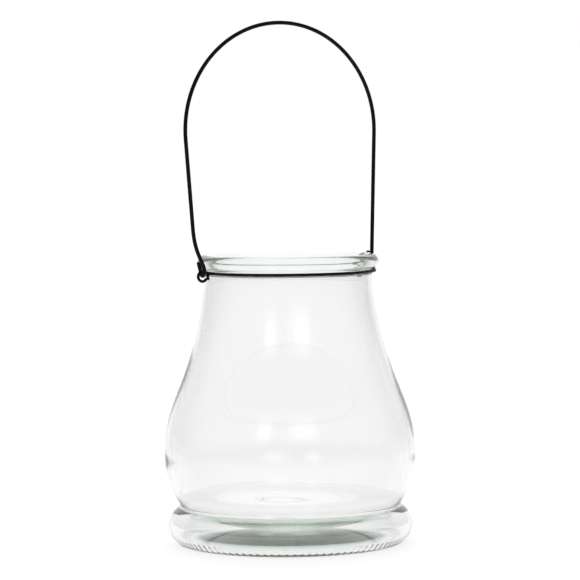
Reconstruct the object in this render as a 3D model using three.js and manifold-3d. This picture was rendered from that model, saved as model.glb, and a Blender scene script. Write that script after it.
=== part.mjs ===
// Clear glass jar lantern: a bulbous jar, a wire collar under its lip and a wire bail handle.
// Millimetres, +Z up. The origin is on the jar's axis at the plane it stands on.
// +X runs along the handle's pivot line, from its left hook to its right one.
import * as THREE from "three";
import { mergeVertices } from "three/addons/utils/BufferGeometryUtils.js";
import Module from "manifold-3d";

// Glass, outside: radii and heights from the base up.
const STANDING_RING = { inner: 50, outer: 52.8 };
const PUSH_UP_HEIGHT = 5.2;
const FOOT = { centreRadius: 50.8, centreHeight: 10, arcRadius: 10.2 };
const WAIST = { radius: 55.5, height: 20.9 };
const BELLY = { radius: 62.7, height: 46 };
const NECK = { radius: 42.15, height: 134.2 };
const LIP = { centreRadius: 41.65, centreHeight: 141.4, beadRadius: 3.6 };

// Glass, inside: the wall follows the foot, and the floor is a low dome with a flat middle.
const WALL = 3;
const INNER_WAIST = { radius: 54.15, height: 22 };
const FLOOR = { height: 10.5, flatRadius: 12 };

// Wire: the collar is the thin one and the handle the thick one.
const COLLAR = { wireRadius: 0.72, ringRadius: 43.4, height: 136.6 };
const EYE_RADIUS = 2.4;
const PIVOT_LEFT = new THREE.Vector3(-47.9, 0, 137.7);
const PIVOT_RIGHT = new THREE.Vector3(47, 0, 139.2);
const HANDLE = {
  wireRadius: 0.98,
  hookRadius: 2.1,
  archRadius: 53.3,
  archHeight: 68.3,
  archShift: -2.65,
  legLean: THREE.MathUtils.degToRad(3.5),
  leftBendTop: 21,
  leftTail: 4.3,
  rightTail: 5.6,
};

const JAR_SEGMENTS = 48;
const WIRE_SIDES = 8;
const UP = Math.PI / 2;

// An arc in the plane of two unit vectors.
class Arc extends THREE.Curve {
  constructor(centre, across, along, radius, start, end) {
    super();
    Object.assign(this, { centre, across, along, radius, start, end });
  }

  getPoint(t) {
    const angle = THREE.MathUtils.lerp(this.start, this.end, t);
    return this.centre
      .clone()
      .addScaledVector(this.across, this.radius * Math.cos(angle))
      .addScaledVector(this.along, this.radius * Math.sin(angle));
  }
}

// Several curves end to end, each cut into its own number of steps, so that tight bends get short steps.
class Route extends THREE.Curve {
  constructor(stretches) {
    super();
    this.stretches = stretches;
    this.steps = stretches.reduce((sum, [, steps]) => sum + steps, 0);
  }

  getPoint(t) {
    let left = t * this.steps;
    for (const [curve, steps] of this.stretches) {
      if (left <= steps) return curve.getPointAt(left / steps);
      left -= steps;
    }
    return this.stretches.at(-1)[0].getPointAt(1);
  }

  getUtoTmapping(u) {
    return u;
  }
}

function wire(route, radius) {
  const section = new THREE.Shape().absarc(0, 0, radius, 0, 2 * Math.PI);
  const steps = route.steps;
  return new THREE.ExtrudeGeometry(section, { curveSegments: WIRE_SIDES / 2, steps, extrudePath: route });
}

// ---- Booleans

const wasm = await Module();
wasm.setup();

function solid(geometry) {
  const bare = geometry.index ? geometry.toNonIndexed() : geometry.clone();
  bare.deleteAttribute("normal");
  bare.deleteAttribute("uv");
  const merged = mergeVertices(bare, 1e-4);
  const vertProperties = new Float32Array(merged.attributes.position.array);
  const triVerts = new Uint32Array(merged.index.array);
  return new wasm.Manifold(new wasm.Mesh({ numProp: 3, vertProperties, triVerts }));
}

function joined(geometries) {
  const whole = geometries.map(solid).reduce((a, b) => a.add(b));
  const mesh = whole.getMesh();
  const geometry = new THREE.BufferGeometry();
  geometry.setAttribute("position", new THREE.Float32BufferAttribute(mesh.vertProperties, 3));
  geometry.setIndex(Array.from(mesh.triVerts));
  geometry.computeVertexNormals();
  return geometry;
}

// ---- Glass jar

function point(radius, height) {
  return new THREE.Vector2(radius, height);
}

function bezier(...ends) {
  return new THREE.CubicBezierCurve(...ends);
}

function arc({ centreRadius, centreHeight }, radius, start, end, clockwise = false) {
  return new THREE.EllipseCurve(centreRadius, centreHeight, radius, radius, start, end, clockwise, 0);
}

// The outline runs up the outside, over the lip and down the inside to the floor.
function jarOutline() {
  const footTop = THREE.MathUtils.degToRad(62);
  const footBottom = Math.asin(-FOOT.centreHeight / FOOT.arcRadius);
  const lipStart = THREE.MathUtils.degToRad(-78);
  const lipEnd = THREE.MathUtils.degToRad(185);
  const foot = arc(FOOT, FOOT.arcRadius, footBottom, footTop);
  const lip = arc(LIP, LIP.beadRadius, lipStart, lipEnd);
  const waist = point(WAIST.radius, WAIST.height);
  const belly = point(BELLY.radius, BELLY.height);
  const neck = point(NECK.radius, NECK.height);
  const innerBelly = point(BELLY.radius - WALL, BELLY.height);
  const innerNeck = point(NECK.radius - WALL, NECK.height);
  const innerWaist = point(INNER_WAIST.radius, INNER_WAIST.height);
  const innerFoot = arc(FOOT, FOOT.arcRadius - WALL, THREE.MathUtils.degToRad(38), -UP, true);
  const floorRim = innerFoot.getPoint(1);
  const floorEdge = point(FLOOR.flatRadius, FLOOR.height);
  const stretches = [
    [
      bezier(
        point(0, PUSH_UP_HEIGHT),
        point(24, PUSH_UP_HEIGHT),
        point(42, 0.5),
        point(STANDING_RING.inner, 0),
      ),
      4,
    ],
    [new THREE.LineCurve(point(STANDING_RING.inner, 0), foot.getPoint(0)), 1],
    [foot, 8],
    [bezier(foot.getPoint(1), point(55.9, 18.9), point(55.2, 19.8), waist), 2],
    [bezier(waist, point(56.4, 22.6), point(62.4, 33), point(BELLY.radius, 42.5)), 5],
    [new THREE.LineCurve(point(BELLY.radius, 42.5), belly), 1],
    [bezier(belly, point(BELLY.radius, 76), point(46.15, 82.2), neck), 11],
    [bezier(neck, point(NECK.radius, 136), point(42.15, 137.2), lip.getPoint(0)), 2],
    [lip, 11],
    [bezier(lip.getPoint(1), point(37.95, 138.5), point(NECK.radius - WALL, 138), innerNeck), 2],
    [bezier(innerNeck, point(43.15, 82.2), point(BELLY.radius - WALL, 76), innerBelly), 9],
    [bezier(innerBelly, point(BELLY.radius - WALL, 35), point(54.67, 27), innerWaist), 4],
    [bezier(innerWaist, point(53.91, 19.5), point(54.8, 17), innerFoot.getPoint(0)), 3],
    [innerFoot, 5],
    [bezier(floorRim, point(44, floorRim.y), point(28, FLOOR.height), floorEdge), 6],
    [new THREE.LineCurve(floorEdge, point(0, FLOOR.height)), 1],
  ];
  const outline = stretches.flatMap(([curve, steps]) => curve.getPoints(steps).slice(0, -1));
  return [...outline, point(0, FLOOR.height)];
}

function jarGeometry() {
  return new THREE.LatheGeometry(jarOutline(), JAR_SEGMENTS).rotateX(UP);
}

// ---- Collar: a ring of wire drawn tight under the lip, with a small eye standing out at each side

const X = new THREE.Vector3(1, 0, 0);
const Y = new THREE.Vector3(0, 1, 0);
const Z = new THREE.Vector3(0, 0, 1);

function eyeCentre(pivot) {
  return pivot.clone().addScaledVector(Z, -EYE_RADIUS);
}

function collarGeometry() {
  const ring = new THREE.TorusGeometry(COLLAR.ringRadius, COLLAR.wireRadius, WIRE_SIDES, JAR_SEGMENTS);
  ring.translate(0, 0, COLLAR.height);

  // Left: the wire leaves the ring, turns over the outside and is cut off close to the neck.
  const leaving = new THREE.Vector3(-COLLAR.ringRadius, 0, COLLAR.height);
  const openEye = new Route([
    [new THREE.LineCurve3(leaving, PIVOT_LEFT), 1],
    [new Arc(eyeCentre(PIVOT_LEFT), X, Z, EYE_RADIUS, UP, UP + THREE.MathUtils.degToRad(240)), 16],
  ]);
  // The wire's other end is twisted once round the first and cut off beside it.
  const otherEnd = new Route([
    [
      new THREE.CubicBezierCurve3(
        new THREE.Vector3(-COLLAR.ringRadius, -0.9, COLLAR.height),
        new THREE.Vector3(-45, -1.2, COLLAR.height),
        new THREE.Vector3(-45.6, -1.3, 135),
        new THREE.Vector3(-45, -1.3, 132.6),
      ),
      5,
    ],
  ]);

  // Right: the same wire is formed into a closed eye, bent up a little by the handle.
  const closedEye = new THREE.TorusGeometry(EYE_RADIUS, COLLAR.wireRadius, WIRE_SIDES, 20);
  closedEye.rotateX(UP).translate(...eyeCentre(PIVOT_RIGHT));

  const wires = [openEye, otherEnd].map((route) => wire(route, COLLAR.wireRadius));
  return joined([ring, closedEye, ...wires]);
}

// ---- Bail handle, drawn with its pivot line level and then laid on the line between the eyes

function handleRoute() {
  const half = PIVOT_LEFT.distanceTo(PIVOT_RIGHT) / 2;
  const { hookRadius, archRadius, archHeight, archShift, legLean, leftBendTop } = HANDLE;
  const front = -hookRadius;
  const lean = new THREE.Vector3(Math.sin(legLean), 0, -Math.cos(legLean));
  const archCentre = new THREE.Vector3(archShift, front, archHeight);
  const arch = new Arc(archCentre, X, Z, archRadius, Math.PI + legLean, -legLean);
  const legTop = arch.getPoint(0);
  const bendTop = legTop.clone().addScaledVector(lean, (legTop.z - leftBendTop) / Math.cos(legLean));
  const leftHookTop = new THREE.Vector3(-half, front, 0);
  const rightHookTop = new THREE.Vector3(half, front, 0);
  const hook = (side, start, end) =>
    new Arc(new THREE.Vector3(side * half, 0, 0), Y, Z, hookRadius, start, end);
  const tail = (side, height) => {
    const foot = new THREE.Vector3(side * half, hookRadius, 0);
    const tip = new THREE.Vector3(side * (half + 0.8), hookRadius + 0.4, height);
    return side < 0 ? new THREE.LineCurve3(tip, foot) : new THREE.LineCurve3(foot, tip);
  };
  return new Route([
    [tail(-1, HANDLE.leftTail), 1],
    [hook(-1, 0, -Math.PI), 8],
    [
      new THREE.CubicBezierCurve3(
        leftHookTop,
        leftHookTop.clone().addScaledVector(Z, 5),
        bendTop.clone().addScaledVector(lean, 13),
        bendTop,
      ),
      7,
    ],
    [new THREE.LineCurve3(bendTop, legTop), 4],
    [arch, 36],
    [new THREE.LineCurve3(arch.getPoint(1), rightHookTop), 6],
    [hook(1, Math.PI, 2 * Math.PI), 8],
    [tail(1, HANDLE.rightTail), 1],
  ]);
}

// ---- Assembly

function mesh(name, geometry, material) {
  const piece = new THREE.Mesh(geometry, new THREE.MeshStandardMaterial(material));
  piece.name = name;
  return piece;
}

const jar = mesh("glass_jar", jarGeometry(), {
  color: 0xeef3ef,
  roughness: 0.03,
  metalness: 0,
  transparent: true,
  opacity: 0.35,
});
const collar = mesh("collar_wire", collarGeometry(), { color: 0x0d0d0d, roughness: 0.5, metalness: 0.6 });
const handle = mesh("bail_handle", wire(handleRoute(), HANDLE.wireRadius), {
  color: 0x0b0b0b,
  roughness: 0.45,
  metalness: 0.6,
});
handle.position.copy(PIVOT_LEFT).add(PIVOT_RIGHT).multiplyScalar(0.5);
handle.rotation.y = -Math.atan2(PIVOT_RIGHT.z - PIVOT_LEFT.z, PIVOT_RIGHT.x - PIVOT_LEFT.x);

const lantern = new THREE.Group();
lantern.name = "jar_lantern";
lantern.add(jar, collar, handle);

export default lantern;
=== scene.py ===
"""Studio scene of a clear glass jar lantern with a wire collar and a wire bail handle. Metres, +Z up."""

import math

import bpy
import numpy as np
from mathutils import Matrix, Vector


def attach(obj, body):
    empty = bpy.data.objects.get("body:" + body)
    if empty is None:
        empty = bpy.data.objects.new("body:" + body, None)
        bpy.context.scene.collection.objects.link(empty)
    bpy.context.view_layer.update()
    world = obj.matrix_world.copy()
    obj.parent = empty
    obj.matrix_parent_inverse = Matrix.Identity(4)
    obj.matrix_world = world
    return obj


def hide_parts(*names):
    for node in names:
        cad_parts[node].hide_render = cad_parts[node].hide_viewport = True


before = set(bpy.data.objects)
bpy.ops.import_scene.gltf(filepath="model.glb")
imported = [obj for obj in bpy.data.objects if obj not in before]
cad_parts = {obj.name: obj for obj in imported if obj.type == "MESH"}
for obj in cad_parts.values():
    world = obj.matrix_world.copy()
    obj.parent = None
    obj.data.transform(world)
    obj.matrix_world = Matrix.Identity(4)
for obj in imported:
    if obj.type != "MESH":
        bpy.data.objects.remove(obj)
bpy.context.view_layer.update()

MM = 0.001
VIEW_AZIMUTH = math.radians(-28.6)
TOWARDS_CAMERA = np.array([math.sin(VIEW_AZIMUTH), -math.cos(VIEW_AZIMUTH)])

# ---- Sizes in millimetres

# The jar: each pair is a radius and a height, and each angle is in degrees.
PUSH_UP_HEIGHT = 5.2
RING_INNER_RADIUS = 50.0
FOOT_CENTRE, FOOT_ARC, FOOT_TOP_ANGLE = (50.8, 10.0), 10.2, 62
FOOT_BOTTOM_ANGLE = math.degrees(math.asin(-FOOT_CENTRE[1] / FOOT_ARC))
WAIST = (55.5, 20.9)
BELLY_RADIUS, BELLY_LOW, BELLY_HIGH = 62.7, 42.5, 46.0
NECK_RADIUS, NECK_HEIGHT = 42.15, 134.2
LIP_CENTRE, LIP_BEAD = (41.65, 141.4), 3.6
LIP_START_ANGLE, LIP_END_ANGLE = -78, 185
WALL = 3.0
INNER_WAIST = (54.09, 22.0)
INNER_FOOT_TOP_ANGLE = 38
FLOOR_HEIGHT, FLOOR_FLAT_RADIUS = 10.5, 12.0

# The marks that the mould leaves.
KNURLS, COLUMNS_PER_KNURL = 96, 8
KNURL_HEIGHT, KNURL_MIDDLE, KNURL_REACH = 0.42, 1.1, 1.6
KNURL_RADIUS, KNURL_GAP = 51.5, 1.2  # where the knurls begin, and how far they stay off the seams
SEAM_WIDTH, SEAM_RIDGE, SEAM_BOTTOM, SEAM_TOP = 0.45, 0.1, 1, 137
SEAM_COLUMNS = np.array([-0.8, -0.4, 0, 0.4, 0.8]) / 55  # angles of the columns across a seam
OUTER_WAVE, INNER_WAVE, WAVE_INSET = 0.05, 0.16, 1.2  # the inset keeps the waves inside the outline
WAVES = [(1, 3, 0.05, 1), (0.6, 5, -0.09, 0), (0.5, 2, 0.13, 2)]  # share, waves per turn, twist per mm, phase
WAVE_START, WAVE_END = (22, 20), (144, 14)  # the height of each end of the waves, and of their fade

# The wires.
COLLAR_WIRE, RING_RADIUS, RING_HEIGHT = 0.72, 43.4, 136.6
EYE = 2.4
LEFT_PIVOT = np.array([-47.9, 0, 137.7])
RIGHT_PIVOT = np.array([47.0, 0, 139.2])
FROM_LEFT_EYE = [(-46.5, 0.0, 0.8), (-44.8, -0.5, 0.2)]  # heights above the collar's ring, here and below
TWISTED_END = [(-44.3, 0.5, -0.4), (-45.3, -0.2, -0.9), (-45.5, -1.0, -1.7), (-45.3, -1.2, -2.7)]
HANDLE_WIRE, HOOK = 0.98, 2.1
LEG_LEAN = math.radians(3.5)
ARCH_CENTRE, ARCH_RADIUS = np.array([-2.65, -HOOK, 68.3]), 53.3
LEFT_BEND_TOP = 21
LEFT_TAIL, RIGHT_TAIL = np.array([-0.8, 0.4, 4.3]), np.array([0.8, 0.4, 5.6])
CAP_RINGS = [(0.35, -0.54), (0.7, -0.42), (0.92, -0.21)]  # share of the wire's radius, radii along the wire

# ---- Looks

CLEAR_GLASS = (0.974, 0.966, 0.974, 1)
BASE_GREEN = (0.82, 0.9, 0.84, 1)
DEEP_GREEN, DEEP_DENSITY = (0.5, 0.92, 0.55, 1), 9  # what long ways through the glass absorb
GLASS_IOR = 1.5
BASE_EDGE = (0.0505, 0.046)  # metres from the axis over which the base's green and texture come in
BASE_TOP = (0.0125, 0.0108)  # metres above the ground over which the base's green comes in
UNDERSIDE_ROUGHNESS = 0.27
WIRE_ROUGHNESS, WIRE_SPECULAR = 0.5, 0.15

# ---- Stage, light and camera

FLOOR_SIZE, FLOOR_DROP = 6, 0.0002  # metres from the middle to an edge, and below the jar
FLOOR_GREY = (0.6, 0.6, 0.6, 1)
# The floor is no lamp, yet it glows: a painted glow keeps it white, and painted shade weakens that glow
# beside and behind the camera.
FLOOR_PAINTED_GLOW = 0.74
FLOOR_FADE = (0.2, 0.9)  # metres from the axis over which the floor's painted glow beside and behind the camera fades, as painted shade
FLOOR_PAINTED_SHADE = 0.88  # share of the painted glow that it loses there, as painted shade
ROOM_LEVEL = 0.15  # brightness of the room beside and behind the camera, beside 1 for the white sweep
SWEEP_EDGES = (-0.98, -0.45)  # where the sweep behind the jar ends: cosines of the angle to the camera
OVERHEAD_LEVEL, OVERHEAD_EDGES = 0.7, (0.6, 0.9)
# Each window: its left and right edges and their blur in degrees from the camera, its low and high edge as a
# share of straight up, and its brightness.
WINDOWS = [(-31, -18, 5, 0.22, 0.46, 1.9), (4, 26, 7, 0.22, 0.46, 1.7)]
KEY_AZIMUTH, KEY_HEIGHT, KEY_DISTANCE = math.radians(-40), 1.6, 1.8
KEY_SIZE, KEY_POWER = 1.2, 1.5
CAMERA_DISTANCE, CAMERA_HEIGHT = 1.6, 0.214
PICTURE_WIDTH = 0.2895  # metres across the picture, at the jar's axis
MIDDLE_HEIGHT, MIDDLE_SHIFT = 0.1270, 0.0009
ROLL = math.radians(0.6)
SENSOR_WIDTH = 36


# ---- Mesh helpers


def bezier(ends, steps):
    """Points of a cubic Bezier, without its last one."""
    t = np.arange(steps)[:, None] / steps
    a, b, c, d = (np.array(p, float) for p in ends)
    return (1 - t) ** 3 * a + 3 * (1 - t) ** 2 * t * b + 3 * (1 - t) * t**2 * c + t**3 * d


def on_arc(centre, radius, angle):
    a = math.radians(angle)
    return (centre[0] + radius * math.cos(a), centre[1] + radius * math.sin(a))


def circle_arc(centre, radius, start, end, steps):
    """Points of an arc from start to end, in degrees, without its last one."""
    angle = np.radians(start + (end - start) * np.arange(steps) / steps)
    return np.stack([centre[0] + radius * np.cos(angle), centre[1] + radius * np.sin(angle)], 1)


def new_mesh(name, points, faces):
    mesh = bpy.data.meshes.new(name)
    mesh.from_pydata([tuple(p) for p in points], [], faces)
    mesh.polygons.foreach_set("use_smooth", [True] * len(mesh.polygons))
    mesh.update()
    made = bpy.data.objects.new(name, mesh)
    bpy.context.scene.collection.objects.link(made)
    return made


# ---- Jar


def outside():
    """The jar's outline from the middle of its underside, up the outside and over the lip."""
    ring, neck = (RING_INNER_RADIUS, 0), (NECK_RADIUS, NECK_HEIGHT)
    belly_low, belly_high = (BELLY_RADIUS, BELLY_LOW), (BELLY_RADIUS, BELLY_HIGH)
    foot_start = on_arc(FOOT_CENTRE, FOOT_ARC, FOOT_BOTTOM_ANGLE)
    foot_end = on_arc(FOOT_CENTRE, FOOT_ARC, FOOT_TOP_ANGLE)
    lip_start = on_arc(LIP_CENTRE, LIP_BEAD, LIP_START_ANGLE)
    return [
        bezier([(0, PUSH_UP_HEIGHT), (24, PUSH_UP_HEIGHT), (42, 0.5), ring], 20),
        bezier([ring, (50.9, 0), (51.9, 0), foot_start], 3),
        circle_arc(FOOT_CENTRE, FOOT_ARC, FOOT_BOTTOM_ANGLE, FOOT_TOP_ANGLE, 34),
        bezier([foot_end, (55.9, 18.9), (55.2, 19.8), WAIST], 6),
        bezier([WAIST, (56.4, 22.6), (62.4, 33), belly_low], 16),
        bezier([belly_low, (BELLY_RADIUS, 43.5), (BELLY_RADIUS, 45), belly_high], 2),
        bezier([belly_high, (BELLY_RADIUS, 76), (46.15, 82.2), neck], 36),
        bezier([neck, (NECK_RADIUS, 136), (NECK_RADIUS, 137.2), lip_start], 4),
        circle_arc(LIP_CENTRE, LIP_BEAD, LIP_START_ANGLE, LIP_END_ANGLE, 30),
    ]


def inside():
    """The outline from the lip, down the inside to the middle of the floor."""
    neck, belly = (NECK_RADIUS - WALL, NECK_HEIGHT), (BELLY_RADIUS - WALL, BELLY_HIGH)
    foot_arc = FOOT_ARC - WALL
    lip_end = on_arc(LIP_CENTRE, LIP_BEAD, LIP_END_ANGLE)
    foot_start = on_arc(FOOT_CENTRE, foot_arc, INNER_FOOT_TOP_ANGLE)
    foot_end = on_arc(FOOT_CENTRE, foot_arc, -90)
    flat = (FLOOR_FLAT_RADIUS, FLOOR_HEIGHT)
    return [
        bezier([lip_end, (37.95, 138.5), (39.15, 138), neck], 5),
        bezier([neck, (46.15 - WALL, 82.2), (BELLY_RADIUS - WALL, 76), belly], 28),
        bezier([belly, (BELLY_RADIUS - WALL, 35), (54.6, 27), INNER_WAIST], 14),
        bezier([INNER_WAIST, (53.85, 19.5), (54.8, 17), foot_start], 8),
        circle_arc(FOOT_CENTRE, foot_arc, INNER_FOOT_TOP_ANGLE, -90, 20),
        bezier([foot_end, (44, foot_end[1]), (28, FLOOR_HEIGHT), flat], 24),
        bezier([flat, (8, FLOOR_HEIGHT), (4, FLOOR_HEIGHT), (0, FLOOR_HEIGHT)], 3),
        np.array([[0, FLOOR_HEIGHT]]),
    ]


def round_angles():
    """Angles of the jar's columns, closer together across the two mould seams, and the seams' own angle."""
    count = KNURLS * COLUMNS_PER_KNURL
    even = np.arange(count) * 2 * math.pi / count
    seam = math.atan2(TOWARDS_CAMERA[1], TOWARDS_CAMERA[0])
    near = np.concatenate([seam + SEAM_COLUMNS, seam + math.pi + SEAM_COLUMNS]) % (2 * math.pi)
    return np.unique(np.round(np.concatenate([even, near]), 6)), seam


def make_jar():
    outer, inner = np.concatenate(outside()), np.concatenate(inside())
    outline = np.concatenate([outer, inner])
    angles, seam = round_angles()
    r, z = outline[:, 0][:, None], outline[:, 1][:, None]
    is_outer = (np.arange(len(outline)) < len(outer))[:, None]
    a = angles[None, :]

    off_seam = np.minimum(np.abs(np.sin(a - seam)) * 60, 30)  # roughly, in millimetres
    has_seam = is_outer * (z > SEAM_BOTTOM) * (z < SEAM_TOP)
    ridge = SEAM_RIDGE * np.exp(-((off_seam / SEAM_WIDTH) ** 2)) * has_seam

    band = np.clip(1 - np.abs(z - KNURL_MIDDLE) / KNURL_REACH, 0, 1) * is_outer * (r > KNURL_RADIUS)
    teeth = np.clip(np.cos(KNURLS * (a - seam) + math.pi), -0.2, 1) * (off_seam > KNURL_GAP)

    wave = is_outer * OUTER_WAVE + ~is_outer * INNER_WAVE
    grown = np.clip((z - WAVE_START[0]) / WAVE_START[1], 0, 1)
    fade = grown * np.clip((WAVE_END[0] - z) / WAVE_END[1], 0, 1) * (r > 20)
    waves = sum(share * np.sin(turns * a + twist * z + phase) for share, turns, twist, phase in WAVES)
    inset = -np.abs(wave) * WAVE_INSET * is_outer * fade
    radius = r + ridge + KNURL_HEIGHT * band * teeth + wave * fade * waves + inset
    height = np.broadcast_to(z, radius.shape)
    points = np.stack([radius * np.cos(a), radius * np.sin(a), height], -1) * MM

    rows, columns = radius.shape
    verts = [points[0, 0], *points[1:-1].reshape(-1, 3), points[-1, 0]]
    faces = []
    count = rows - 2
    for j in range(columns):
        k = (j + 1) % columns
        faces.append((0, 1 + k, 1 + j))
        for i in range(count - 1):
            low, high = 1 + i * columns, 1 + (i + 1) * columns
            faces.append((low + j, low + k, high + k, high + j))
        last = 1 + (count - 1) * columns
        faces.append((last + j, last + k, len(verts) - 1))
    return new_mesh("jar_glass", verts, faces)


# ---- Wires


def tube(name, route, radius, sides=16):
    """A closed round wire along points, in metres, with rounded ends."""
    ahead = np.gradient(route, axis=0)
    ahead /= np.linalg.norm(ahead, axis=1)[:, None]
    side = np.cross(ahead[0], [0.3, 0.9, 0.2])
    places = []
    for place, way in zip(route, ahead):
        side = side - way * np.dot(side, way)
        side /= np.linalg.norm(side)
        places.append((place, way, side, np.cross(way, side)))

    verts = []
    turn = np.arange(sides) * 2 * math.pi / sides

    def ring(at, share, shift):
        place, way, across, up = at
        for t in turn:
            spoke = across * math.cos(t) + up * math.sin(t)
            verts.append(place + way * shift * radius + radius * share * spoke)

    for share, shift in CAP_RINGS:
        ring(places[0], share, shift)
    for at in places:
        ring(at, 1, 0)
    for share, shift in reversed(CAP_RINGS):
        ring(places[-1], share, -shift)

    count = len(verts) // sides
    faces = []
    for low in range(0, (count - 1) * sides, sides):
        for j in range(sides):
            k = (j + 1) % sides
            faces.append((low + j, low + k, low + sides + k, low + sides + j))
    faces.append(tuple(reversed(range(sides))))
    faces.append(tuple((count - 1) * sides + j for j in range(sides)))
    return new_mesh(name, verts, faces)


def smooth_route(points, steps):
    """A Catmull-Rom curve through points."""
    p = np.concatenate([[2 * points[0] - points[1]], points, [2 * points[-1] - points[-2]]])
    out = []
    for a, b, c, d in zip(p, p[1:], p[2:], p[3:]):
        for t in np.arange(steps) / steps:
            square, cube = 2 * a - 5 * b + 4 * c - d, 3 * b - a - 3 * c + d
            out.append((2 * b + (c - a) * t + square * t**2 + cube * t**3) / 2)
    out.append(p[-2])
    return np.array(out)


def make_collar():
    """One wire: from the left eye round the front to the right eye, and round the back to its twisted end."""

    def round_eye(pivot, degrees, y):
        a = math.radians(degrees)
        return [pivot[0] + EYE * math.cos(a), y, pivot[2] - EYE + EYE * math.sin(a)]

    def round_neck(degrees):
        a = math.radians(degrees)
        return [RING_RADIUS * math.cos(a), RING_RADIUS * math.sin(a), RING_HEIGHT]

    def beside_ring(place):
        return [place[0], place[1], RING_HEIGHT + place[2]]

    left_angles, right_angles = range(90, 340, 24), range(215, -146, -30)
    drift = np.linspace(0.25, -0.25, len(right_angles))
    route = [
        *reversed([round_eye(LEFT_PIVOT, a, 0.0) for a in left_angles]),
        *[beside_ring(place) for place in FROM_LEFT_EYE],
        *[round_neck(a) for a in range(184, 356, 6)],
        *[round_eye(RIGHT_PIVOT, a, y) for a, y in zip(right_angles, drift)],
        *[round_neck(a) for a in range(6, 178, 6)],
        *[beside_ring(place) for place in TWISTED_END],
    ]
    return tube("collar_of_wire", smooth_route(np.array(route) * MM, 5), COLLAR_WIRE * MM, 12)


def make_handle():
    """The left tail and hook, the left leg, the arch, the right leg, hook and tail."""
    half = np.linalg.norm(RIGHT_PIVOT - LEFT_PIVOT) / 2
    along = (RIGHT_PIVOT - LEFT_PIVOT) / (2 * half)
    up = np.array([-along[2], 0, along[0]])

    def on_arch(a):
        return ARCH_CENTRE + ARCH_RADIUS * np.array([math.cos(a), 0, math.sin(a)])

    def on_hook(side, a):
        return np.array([side * half, HOOK * math.cos(a), HOOK * math.sin(a)])

    start, end = math.pi + LEG_LEAN, -LEG_LEAN
    top_left, top_right = on_arch(start), on_arch(end)
    down = np.array([math.sin(LEG_LEAN), 0, -math.cos(LEG_LEAN)])
    bend = top_left + down * (top_left[2] - LEFT_BEND_TOP) / math.cos(LEG_LEAN)
    left_foot, right_foot = on_hook(-1, math.pi), on_hook(1, math.pi)
    route = [
        *[on_hook(-1, 0) + t * LEFT_TAIL for t in np.linspace(1, 0, 5)[:-1]],
        *[on_hook(-1, -a) for a in np.linspace(0, math.pi, 15)[:-1]],
        *bezier([left_foot, left_foot + [0, 0, 5], bend + down * 13, bend], 16),
        *[bend + (top_left - bend) * t for t in np.linspace(0, 1, 9)[:-1]],
        *[on_arch(a) for a in np.linspace(start, end, 73)[:-1]],
        *[top_right + (right_foot - top_right) * t for t in np.linspace(0, 1, 15)[:-1]],
        *[on_hook(1, math.pi + a) for a in np.linspace(0, math.pi, 15)[:-1]],
        *[on_hook(1, 0) + t * RIGHT_TAIL for t in np.linspace(0, 1, 5)],
    ]
    middle = (LEFT_PIVOT + RIGHT_PIVOT) / 2
    placed = [middle + p[0] * along + p[1] * np.array([0, 1, 0]) + p[2] * up for p in route]
    return tube("handle_of_wire", np.array(placed) * MM, HANDLE_WIRE * MM)


# ---- Materials


class Graph:
    """The nodes of one material or world, with short ways to add the usual ones."""

    def __init__(self, tree):
        self.nodes, self.links = tree.nodes, tree.links

    def add(self, kind):
        return self.nodes.new("ShaderNode" + kind)

    def place(self, kind):
        return self.add("TexCoord").outputs[kind]

    def split(self, vector):
        parts = self.add("SeparateXYZ")
        self.links.new(vector, parts.inputs["Vector"])
        return parts.outputs

    def math(self, operation, *values):
        node = self.add("Math")
        node.operation = operation
        for socket, value in zip(node.inputs, values):
            if isinstance(value, (int, float)):
                socket.default_value = value
            else:
                self.links.new(value, socket)
        return node.outputs["Value"]

    def product(self, first, *others):
        for other in others:
            first = self.math("MULTIPLY", first, other)
        return first

    def along(self, x, y, way):
        """How far the point (x, y) lies along a level direction."""
        east, north = (float(share) for share in way)
        return self.math("ADD", self.product(x, east), self.product(y, north))

    def from_axis(self, x, y):
        return self.math("SQRT", self.math("ADD", self.product(x, x), self.product(y, y)))

    def ramp(self, source, start, end, low=0.0, high=1.0, smooth=True):
        """A step from low to high as source goes from start to end."""
        step = self.add("MapRange")
        step.interpolation_type = "SMOOTHSTEP" if smooth else "LINEAR"
        for name, number in zip(("From Min", "From Max", "To Min", "To Max"), (start, end, low, high)):
            step.inputs[name].default_value = number
        self.links.new(source, step.inputs["Value"])
        return step.outputs["Result"]

    def noise(self, scale, detail=3.0):
        texture = self.add("TexNoise")
        texture.inputs["Scale"].default_value = scale
        texture.inputs["Detail"].default_value = detail
        self.links.new(self.place("Object"), texture.inputs["Vector"])
        return texture.outputs["Fac"]

    def mottle(self, scale, low, high):
        """Noise spread from low to high."""
        return self.ramp(self.noise(scale), 0.3, 0.7, low, high, smooth=False)

    def blend(self, share, first, second):
        """The first colour, going to the second as share goes from 0 to 1."""
        tone = self.add("Mix")
        tone.data_type = "RGBA"
        tone.inputs["A"].default_value, tone.inputs["B"].default_value = first, second
        self.links.new(share, tone.inputs["Factor"])
        return tone.outputs["Result"]

    def bump(self, shader, height, strength, distance):
        relief = self.add("Bump")
        relief.inputs["Strength"].default_value = strength
        relief.inputs["Distance"].default_value = distance
        self.links.new(height, relief.inputs["Height"])
        self.links.new(relief.outputs["Normal"], shader.inputs["Normal"])


def node_material(name):
    material = bpy.data.materials.new(name)
    material.use_nodes = True
    return material, Graph(material.node_tree), material.node_tree.nodes["Principled BSDF"]


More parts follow.
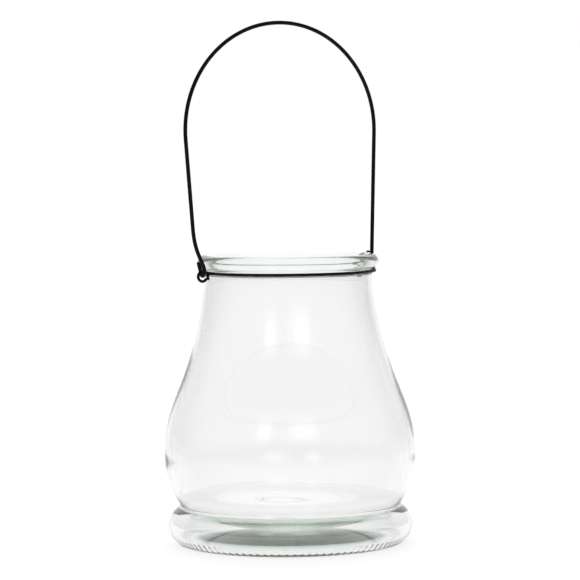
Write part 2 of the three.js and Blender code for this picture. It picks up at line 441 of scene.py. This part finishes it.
def glass():
    """Clear soda glass, greener in its thick base, with the mould's fine texture on its underside."""
    material, graph, shader = node_material("soda_glass")
    shader.inputs["Transmission Weight"].default_value = 1
    shader.inputs["IOR"].default_value = GLASS_IOR

    x, y, z = graph.split(graph.place("Object"))
    inward = graph.ramp(graph.from_axis(x, y), *BASE_EDGE)
    tone = graph.blend(graph.product(inward, graph.ramp(z, *BASE_TOP)), CLEAR_GLASS, BASE_GREEN)
    graph.links.new(tone, shader.inputs["Base Color"])

    facing_up = graph.split(graph.place("Normal"))["Z"]
    stipple = graph.product(inward, graph.ramp(facing_up, -0.5, -0.8), UNDERSIDE_ROUGHNESS)
    roughness = graph.math("ADD", graph.mottle(60, 0.0, 0.012), stipple)
    graph.links.new(roughness, shader.inputs["Roughness"])
    graph.bump(shader, graph.noise(45, 1.0), 0.1, 0.0004)

    tint = graph.add("VolumeAbsorption")
    tint.inputs["Color"].default_value = DEEP_GREEN
    tint.inputs["Density"].default_value = DEEP_DENSITY
    graph.links.new(tint.outputs["Volume"], graph.nodes["Material Output"].inputs["Volume"])
    return material


def wire(name, colour):
    """Black coated wire, slightly uneven in tone, gloss and surface."""
    material, graph, shader = node_material(name)
    darker, lighter = ((*[c * share for c in colour], 1) for share in (0.6, 1.5))
    graph.links.new(graph.blend(graph.mottle(400, 0, 1), darker, lighter), shader.inputs["Base Color"])
    roughness = graph.mottle(900, WIRE_ROUGHNESS - 0.08, WIRE_ROUGHNESS + 0.1)
    graph.links.new(roughness, shader.inputs["Roughness"])
    graph.bump(shader, graph.noise(1500, 2.0), 0.3, 0.0001)
    shader.inputs["Specular IOR Level"].default_value = WIRE_SPECULAR
    return material


# ---- Stage, light and camera


def make_floor():
    """A pale floor with a painted glow, white to the camera itself; to the jar the glow fades beside and in
    front of it as painted shade.
    """
    s = FLOOR_SIZE
    floor = new_mesh("floor", [(-s, -s, 0), (s, -s, 0), (s, s, 0), (-s, s, 0)], [(0, 1, 2, 3)])
    floor.location.z = -FLOOR_DROP
    material, graph, shader = node_material("floor_paper_painted_glow")
    shader.inputs["Base Color"].default_value = FLOOR_GREY
    shader.inputs["Roughness"].default_value = 0.95
    shader.inputs["Specular IOR Level"].default_value = 0
    # Painted glow: the floor glows though it is no lamp.
    shader.inputs["Emission Color"].default_value = (1, 1, 1, 1)

    # Painted shade: for all but camera rays the glow fades beside and behind the camera.
    x, y, _ = graph.split(graph.place("Object"))
    distance = graph.from_axis(x, y)
    beside = graph.ramp(graph.math("DIVIDE", graph.along(x, y, TOWARDS_CAMERA), distance), *SWEEP_EDGES)
    painted_floor_shade = graph.product(beside, graph.ramp(distance, *FLOOR_FADE), FLOOR_PAINTED_SHADE)
    seen = graph.add("LightPath").outputs["Is Camera Ray"]
    painted_floor_glow = graph.math("MAXIMUM", graph.math("SUBTRACT", 1, painted_floor_shade), seen)
    graph.links.new(graph.product(painted_floor_glow, FLOOR_PAINTED_GLOW), shader.inputs["Emission Strength"])
    floor.data.materials.append(material)


def make_world():
    """A white sweep behind the jar, a dim room round the camera with two soft windows and a light ceiling.

    The camera itself sees plain white all round.
    """
    world = bpy.data.worlds.new("studio")
    world.use_nodes = True
    graph = Graph(world.node_tree)
    east, north, up = graph.split(graph.place("Generated"))
    to_side = (-TOWARDS_CAMERA[1], TOWARDS_CAMERA[0])
    front, side = graph.along(east, north, TOWARDS_CAMERA), graph.along(east, north, to_side)
    azimuth = graph.product(graph.math("ARCTAN2", side, front), math.degrees(1))

    level = graph.math("SQRT", graph.math("SUBTRACT", 1.0001, graph.product(up, up)))
    room = graph.ramp(graph.math("DIVIDE", front, level), *SWEEP_EDGES)
    light = graph.math("SUBTRACT", 1, graph.product(room, 1 - ROOM_LEVEL))
    light = graph.math("MAXIMUM", light, graph.ramp(up, *OVERHEAD_EDGES, 0.0, OVERHEAD_LEVEL))
    for left, right, blur, low, high, gain in WINDOWS:
        edges = [
            graph.ramp(azimuth, left - blur, left + blur),
            graph.ramp(azimuth, right - blur, right + blur, 1.0, 0.0),
            graph.ramp(up, low - 0.1, low + 0.15),
            graph.ramp(up, high - 0.2, high + 0.1, 1.0, 0.0),
        ]
        light = graph.math("ADD", light, graph.product(*edges, gain))

    seen = graph.add("LightPath").outputs["Is Camera Ray"]
    graph.links.new(graph.math("MAXIMUM", light, seen), graph.nodes["Background"].inputs["Color"])
    bpy.context.scene.world = world


def place_aimed(made, place, target):
    made.location = place
    made.rotation_euler = (target - place).to_track_quat("-Z", "Y").to_euler()
    bpy.context.scene.collection.objects.link(made)


def make_key():
    """A large soft lamp up on the left that shows in no reflection."""
    data = bpy.data.lights.new("key", "AREA")
    data.shape = "RECTANGLE"
    data.size = data.size_y = KEY_SIZE
    data.energy = KEY_POWER
    lamp = bpy.data.objects.new("key", data)
    a = VIEW_AZIMUTH + KEY_AZIMUTH
    place = Vector((KEY_DISTANCE * math.sin(a), -KEY_DISTANCE * math.cos(a), KEY_HEIGHT))
    place_aimed(lamp, place, Vector((0, 0, 0.1)))
    lamp.visible_glossy = False
    lamp.visible_transmission = False


def make_camera():
    data = bpy.data.cameras.new("camera")
    data.sensor_width = SENSOR_WIDTH
    toward = Vector((*TOWARDS_CAMERA, 0))
    shift = Vector((-TOWARDS_CAMERA[1], TOWARDS_CAMERA[0], 0)) * MIDDLE_SHIFT
    target = Vector((0, 0, MIDDLE_HEIGHT)) + shift
    place = toward * CAMERA_DISTANCE + Vector((0, 0, CAMERA_HEIGHT)) + shift
    data.lens = data.sensor_width * (target - place).length / PICTURE_WIDTH
    data.clip_start, data.clip_end = 0.05, 50
    camera = bpy.data.objects.new("camera", data)
    place_aimed(camera, place, target)
    camera.rotation_euler.rotate_axis("Z", -ROLL)
    bpy.context.scene.camera = camera


make_camera()
make_world()
make_floor()
make_key()
bpy.context.scene.view_settings.view_transform = "Standard"

jar = make_jar()
jar.data.materials.append(glass())
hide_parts("glass_jar")
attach(jar, "jar")

collar = make_collar()
collar.data.materials.append(wire("collar_black", (0.004, 0.004, 0.004)))
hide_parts("collar_wire")
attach(collar, "jar")

handle = make_handle()
handle.data.materials.append(wire("handle_black", (0.004, 0.004, 0.0042)))
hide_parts("bail_handle")
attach(handle, "handle")
